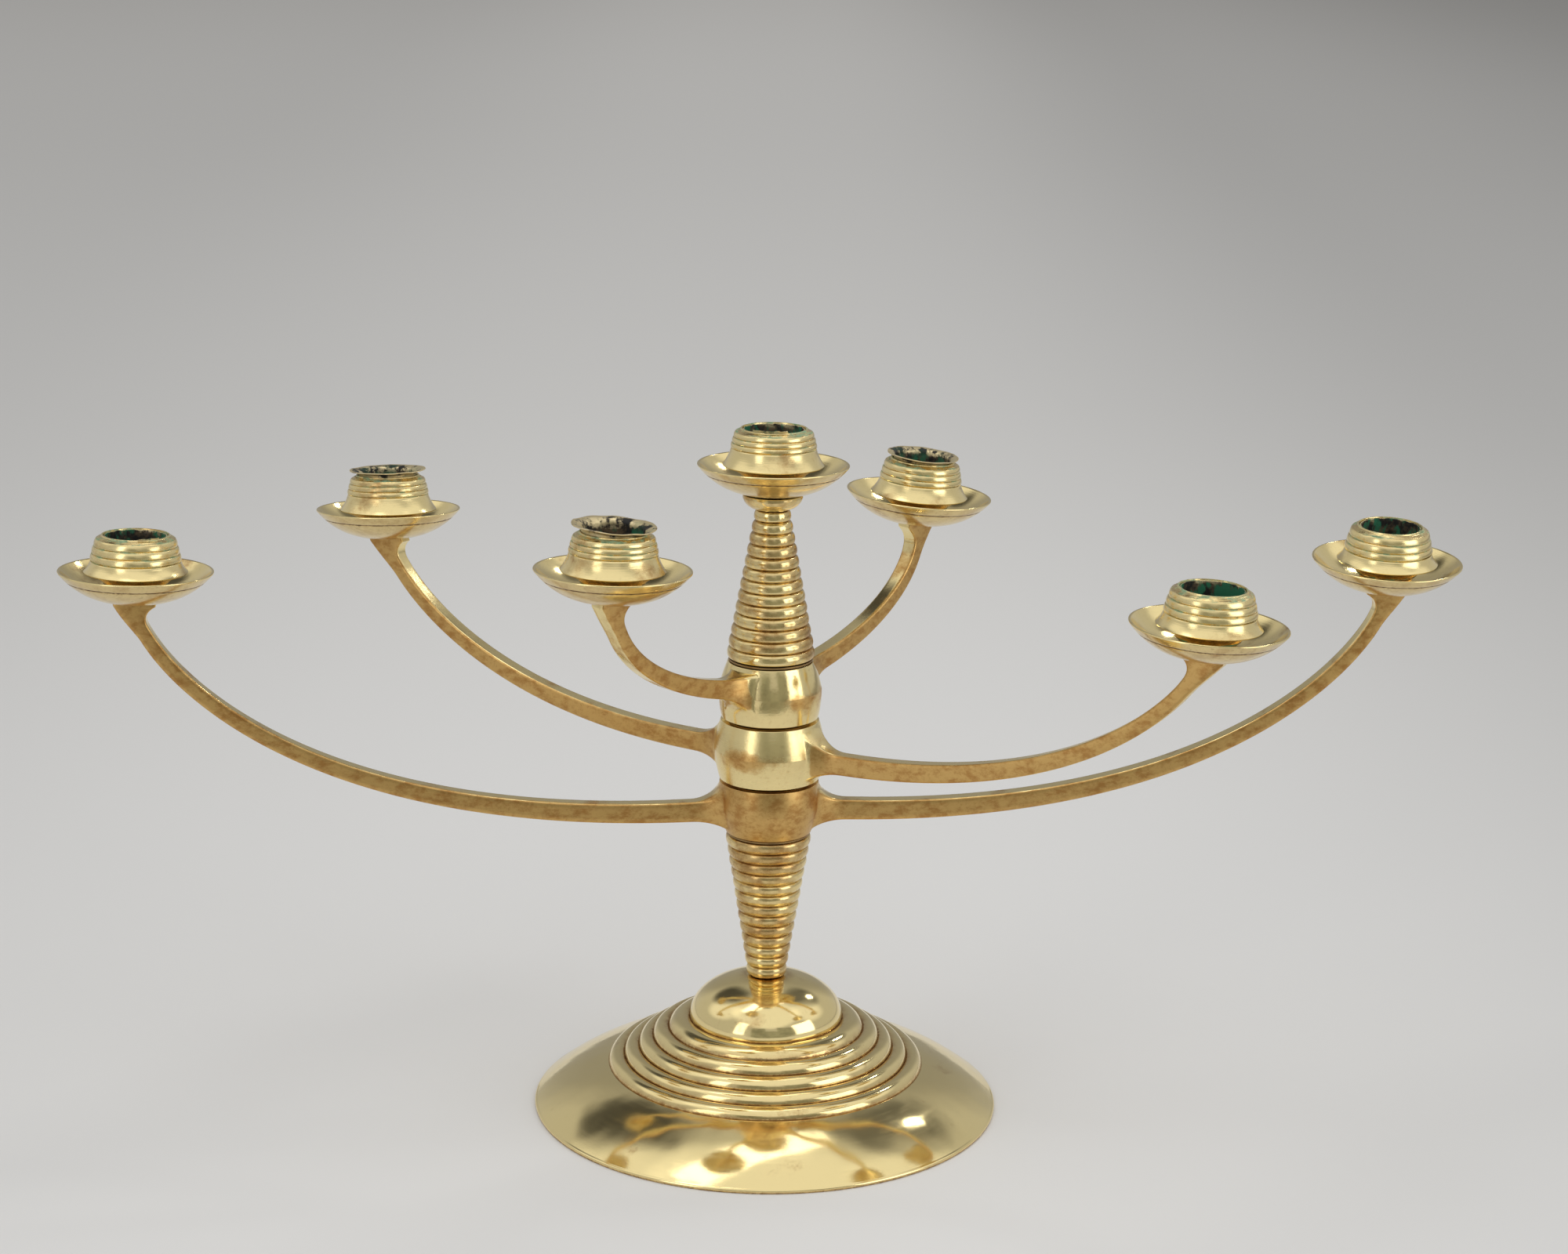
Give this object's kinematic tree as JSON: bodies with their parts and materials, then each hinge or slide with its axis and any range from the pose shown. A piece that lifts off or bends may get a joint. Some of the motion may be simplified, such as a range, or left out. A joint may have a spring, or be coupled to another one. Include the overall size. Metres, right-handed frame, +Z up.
{
  "type": "candelabrum",
  "caption": "Tabletop brass candelabrum: ribbed domed foot, beaded stem, nested pairs of swivelling curved arms, each light a drip pan, a ridged candle cup and a lift-out liner.",
  "frame": {"origin": "centre of the foot's underside, on the surface that it stands on", "axes": "+Z up the stem, +X to the right of someone who faces the front, +Y away from them; the arms are stored at the angles they are set to in the picture"},
  "size_m": [0.5576, 0.2356, 0.2835],
  "materials": {
    "foot_brass": "polished, a little scratched",
    "stem_brass": "polished, brown in the grooves",
    "arm_brass": "semi-polished with orange-brown patina on the flanks",
    "pan_brass": "polished, turned, browned inside",
    "cup_brass": "polished skirt, verdigris in the grooves",
    "liner_brass": "dull, brown and sooty",
    "washer_brass": "dull, dark",
    "rod_steel": "plain steel",
    "screw_steel": "plain steel, dulled"
  },
  "bodies": {
    "stand": {"foot": "foot_brass", "foot_washer": "rod_steel", "rod_nut": "rod_steel", "tie_rod": "rod_steel", "lower_stem": "stem_brass", "upper_stem": "stem_brass", "hub_washer_1": "washer_brass", "hub_washer_2": "washer_brass", "hub_washer_3": "washer_brass", "hub_washer_4": "washer_brass", "drip_pan_centre": "pan_brass", "candle_cup_centre": "cup_brass", "cup_screw_centre": "screw_steel"},
    "lower_arms": {"lower_arms": "arm_brass", "drip_pan_lower_left": "pan_brass", "candle_cup_lower_left": "cup_brass", "cup_screw_lower_left": "screw_steel", "drip_pan_lower_right": "pan_brass", "candle_cup_lower_right": "cup_brass", "cup_screw_lower_right": "screw_steel"},
    "middle_arms": {"middle_arms": "arm_brass", "drip_pan_middle_left": "pan_brass", "candle_cup_middle_left": "cup_brass", "cup_screw_middle_left": "screw_steel", "drip_pan_middle_right": "pan_brass", "candle_cup_middle_right": "cup_brass", "cup_screw_middle_right": "screw_steel"},
    "upper_arms": {"upper_arms": "arm_brass", "drip_pan_upper_left": "pan_brass", "candle_cup_upper_left": "cup_brass", "cup_screw_upper_left": "screw_steel", "drip_pan_upper_right": "pan_brass", "candle_cup_upper_right": "cup_brass", "cup_screw_upper_right": "screw_steel"},
    "liner_centre": {"liner_centre": "liner_brass"},
    "liner_lower_right": {"liner_lower_right": "liner_brass"},
    "liner_lower_left": {"liner_lower_left": "liner_brass"},
    "liner_middle_right": {"liner_middle_right": "liner_brass"},
    "liner_middle_left": {"liner_middle_left": "liner_brass"},
    "liner_upper_right": {"liner_upper_right": "liner_brass"},
    "liner_upper_left": {"liner_upper_left": "liner_brass"}
  },
  "joints": [
    {"name": "lower_arms_swivel", "type": "hinge", "parent": "stand", "child": "lower_arms", "pos_m": [0, 0, 0.1287], "axis": [0, 0, 1], "continuous": true},
    {"name": "middle_arms_swivel", "type": "hinge", "parent": "stand", "child": "middle_arms", "pos_m": [0, 0, 0.1513], "axis": [0, 0, 1], "continuous": true},
    {"name": "upper_arms_swivel", "type": "hinge", "parent": "stand", "child": "upper_arms", "pos_m": [0, 0, 0.17701], "axis": [0, 0, 1], "continuous": true},
    {"name": "liner_centre_lift", "type": "slide", "parent": "stand", "child": "liner_centre", "axis": [0, 0, 1], "range_m": [0, 0.03]},
    {"name": "liner_lower_right_lift", "type": "slide", "parent": "lower_arms", "child": "liner_lower_right", "axis": [0, 0, 1], "range_m": [0, 0.03]},
    {"name": "liner_lower_left_lift", "type": "slide", "parent": "lower_arms", "child": "liner_lower_left", "axis": [0, 0, 1], "range_m": [0, 0.03]},
    {"name": "liner_middle_right_lift", "type": "slide", "parent": "middle_arms", "child": "liner_middle_right", "axis": [0, 0, 1], "range_m": [0, 0.03]},
    {"name": "liner_middle_left_lift", "type": "slide", "parent": "middle_arms", "child": "liner_middle_left", "axis": [0, 0, 1], "range_m": [0, 0.03]},
    {"name": "liner_upper_right_lift", "type": "slide", "parent": "upper_arms", "child": "liner_upper_right", "axis": [0, 0, 1], "range_m": [0, 0.03]},
    {"name": "liner_upper_left_lift", "type": "slide", "parent": "upper_arms", "child": "liner_upper_left", "axis": [0, 0, 1], "range_m": [0, 0.03]}
  ]
}
